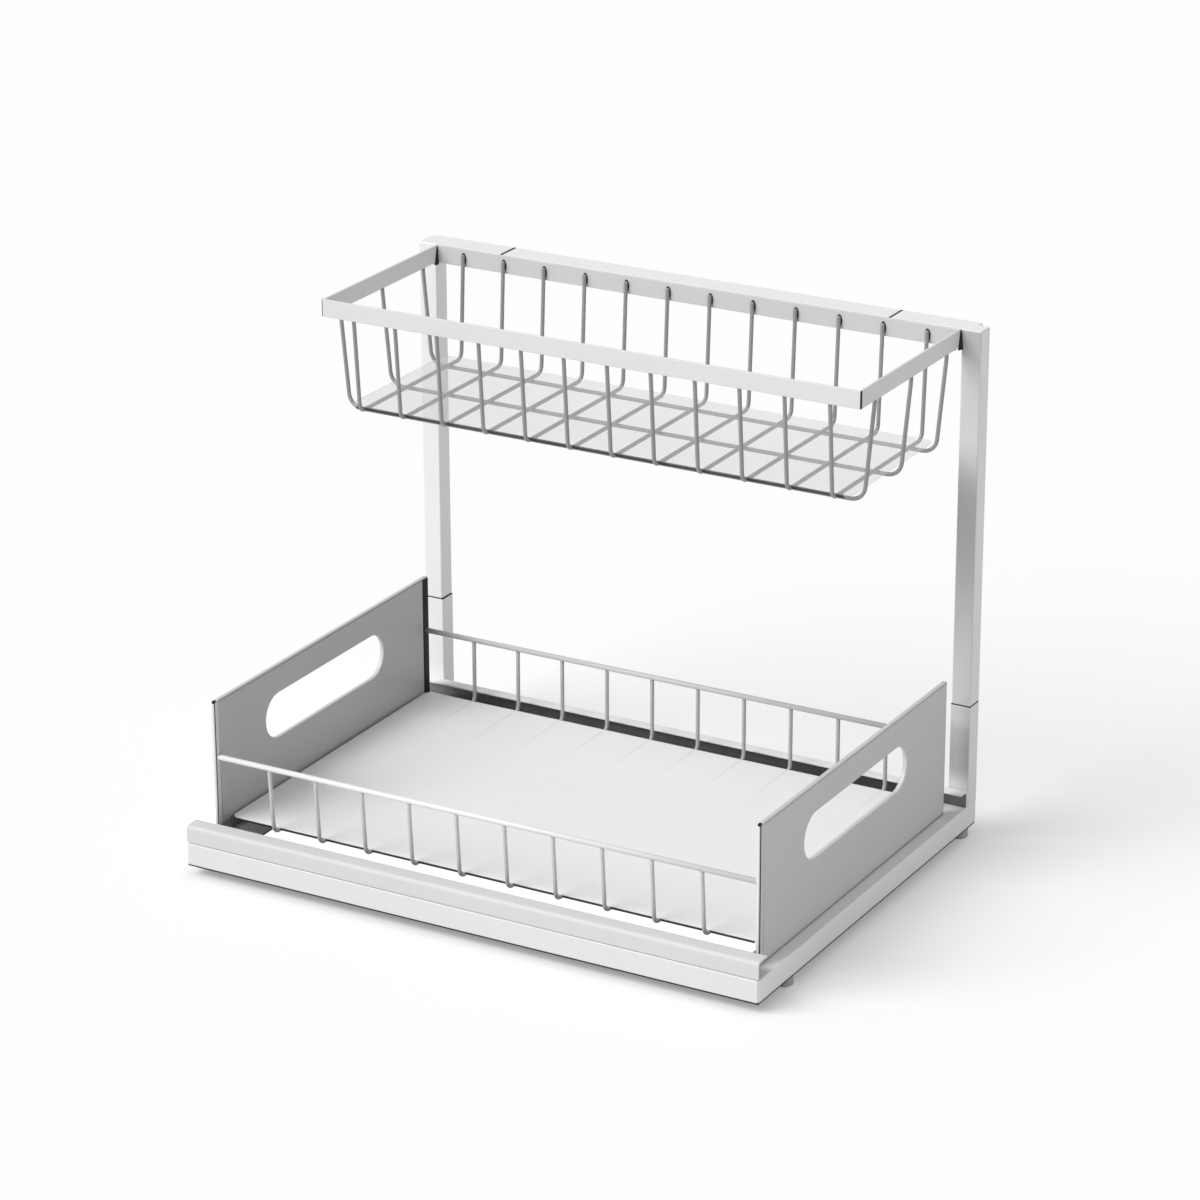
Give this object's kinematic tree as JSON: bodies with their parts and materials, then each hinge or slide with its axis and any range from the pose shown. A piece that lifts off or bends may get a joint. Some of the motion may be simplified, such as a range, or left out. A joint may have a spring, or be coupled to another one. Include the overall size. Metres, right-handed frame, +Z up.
{
  "type": "under_sink_organizer",
  "caption": "White steel two-tier under sink organizer with a pull-out drawer, wire basket and liners",
  "frame": {"origin": "centre of the overall footprint on the floor, under the feet", "axes": "+X to the right seen from the front, +Y to the back where the posts stand, +Z up"},
  "size_m": [0.46, 0.348, 0.3863],
  "materials": {
    "frame_paint": "satin white powder coat",
    "panel_paint": "satin light grey powder coat",
    "wire_paint": "white coated wire",
    "zinc_steel": "zinc plated",
    "clear_liner": "frosted translucent",
    "grey_liner": "matt, nearly opaque",
    "dark_plastic": "moulded, hidden",
    "rubber_feet": "matt grey"
  },
  "bodies": {
    "frame": {"base_rail_left": "frame_paint", "base_rail_right": "frame_paint", "base_front_bar": "frame_paint", "base_rear_bar": "frame_paint", "feet": "rubber_feet", "rear_strip": "frame_paint", "sleeve_left": "frame_paint", "sleeve_right": "frame_paint", "post_spigots": "dark_plastic", "upper_post_left": "frame_paint", "upper_post_right": "frame_paint", "crossbar_end_left": "frame_paint", "crossbar_end_right": "frame_paint", "crossbar_centre": "frame_paint", "crossbar_joiners": "dark_plastic", "basket_front_bar": "frame_paint", "basket_left_bar": "frame_paint", "basket_right_bar": "frame_paint", "basket_rear_bar": "frame_paint", "basket_cross_wires": "wire_paint", "basket_long_wires": "wire_paint", "basket_liner": "clear_liner", "basket_screws": "zinc_steel", "slide_brackets": "zinc_steel", "bracket_screws": "zinc_steel", "slide_outer_left": "zinc_steel", "slide_outer_right": "zinc_steel"},
    "drawer": {"side_panel_left": "panel_paint", "side_panel_right": "panel_paint", "front_strip": "frame_paint", "corner_brackets": "frame_paint", "drawer_front_rail": "wire_paint", "drawer_rear_rail": "wire_paint", "drawer_cross_wires": "wire_paint", "drawer_long_wires": "wire_paint", "drawer_liner": "grey_liner", "slide_inner_left": "zinc_steel", "slide_inner_right": "zinc_steel"},
    "slide_left": {"slide_middle_left": "zinc_steel"},
    "slide_right": {"slide_middle_right": "zinc_steel"}
  },
  "joints": [
    {"name": "drawer_slide", "type": "slide", "parent": "frame", "child": "drawer", "axis": [0, -1, 0], "range_m": [0, 0.24]},
    {"name": "middle_slide_left", "type": "slide", "parent": "frame", "child": "slide_left", "axis": [0, -1, 0], "range_m": [0, 0.12]},
    {"name": "middle_slide_right", "type": "slide", "parent": "frame", "child": "slide_right", "axis": [0, -1, 0], "range_m": [0, 0.12]}
  ],
  "couplings": [
    {"joint": "middle_slide_left", "follows": "drawer_slide", "ratio": 0.5},
    {"joint": "middle_slide_right", "follows": "drawer_slide", "ratio": 0.5}
  ]
}
